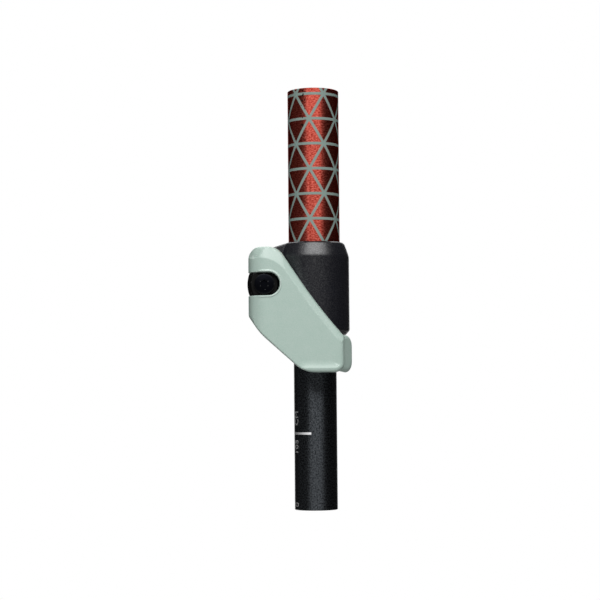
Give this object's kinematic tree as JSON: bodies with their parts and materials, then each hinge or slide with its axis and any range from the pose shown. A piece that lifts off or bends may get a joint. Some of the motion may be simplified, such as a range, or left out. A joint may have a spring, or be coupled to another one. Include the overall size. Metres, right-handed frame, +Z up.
{
  "type": "telescopic pole lever lock",
  "caption": "Lever-lock joint of a telescopic walking pole: a cam lever closes a split collar on the narrow tube, so the pole's length can be set and held.",
  "frame": {"origin": "on the pole's axis, at the cut end of the upper tube", "axes": "+Z up along the pole, the closed lever's face towards -Y, the lever's pivot at -X and its finger tab at +X"},
  "size_m": [0.0359, 0.0284, 0.1469],
  "materials": {
    "red_anodised": "satin red anodising with a printed grey-green lattice",
    "black_anodised": "satin black anodising",
    "moulded_black": "fine moulded texture",
    "moulded_mint": "fine moulded texture",
    "blackened_steel": "black oxide",
    "bright_steel": "plain",
    "grey_nylon": "plain"
  },
  "bodies": {
    "upper_section": {"upper_tube": "red_anodised", "clamp_collar": "moulded_black", "cam_plate": "bright_steel"},
    "tension_drum": {"pivot_drum": "blackened_steel", "upper_pivot_pin": "bright_steel", "lower_pivot_pin": "bright_steel"},
    "lever": {"lever": "moulded_mint"},
    "tension_screw": {"tension_screw": "blackened_steel"},
    "tension_nut": {"tension_nut": "bright_steel"},
    "guide_bush": {"guide_bush": "grey_nylon"},
    "lower_section": {"lower_tube": "black_anodised", "end_plug": "grey_nylon"}
  },
  "joints": [
    {"name": "drum_pull", "type": "slide", "parent": "upper_section", "child": "tension_drum", "axis": [0, 1, 0], "range_m": [0, 0.001]},
    {"name": "lever_swing", "type": "hinge", "parent": "tension_drum", "child": "lever", "pos_m": [-0.01735, -0.0107, -0.0689], "axis": [0, 0, -1], "range_deg": [0, 135]},
    {"name": "screw_turn", "type": "hinge", "parent": "tension_drum", "child": "tension_screw", "pos_m": [-0.01735, 0, -0.0689], "axis": [0, -1, 0], "range_deg": [0, 720]},
    {"name": "nut_run", "type": "slide", "parent": "tension_drum", "child": "tension_nut", "axis": [0, 1, 0], "range_m": [0, 0.0014]},
    {"name": "pole_slide", "type": "slide", "parent": "upper_section", "child": "guide_bush", "axis": [0, 0, -1], "range_m": [-0.025, 0.027]},
    {"name": "pole_spin", "type": "hinge", "parent": "guide_bush", "child": "lower_section", "pos_m": [0, 0, -0.03245], "axis": [0, 0, 1], "continuous": true}
  ],
  "couplings": [
    {"joint": "lever_swing", "follows": "drum_pull", "rad_per_m": 2356.2},
    {"joint": "screw_turn", "follows": "nut_run", "rad_per_m": 8975.9}
  ]
}
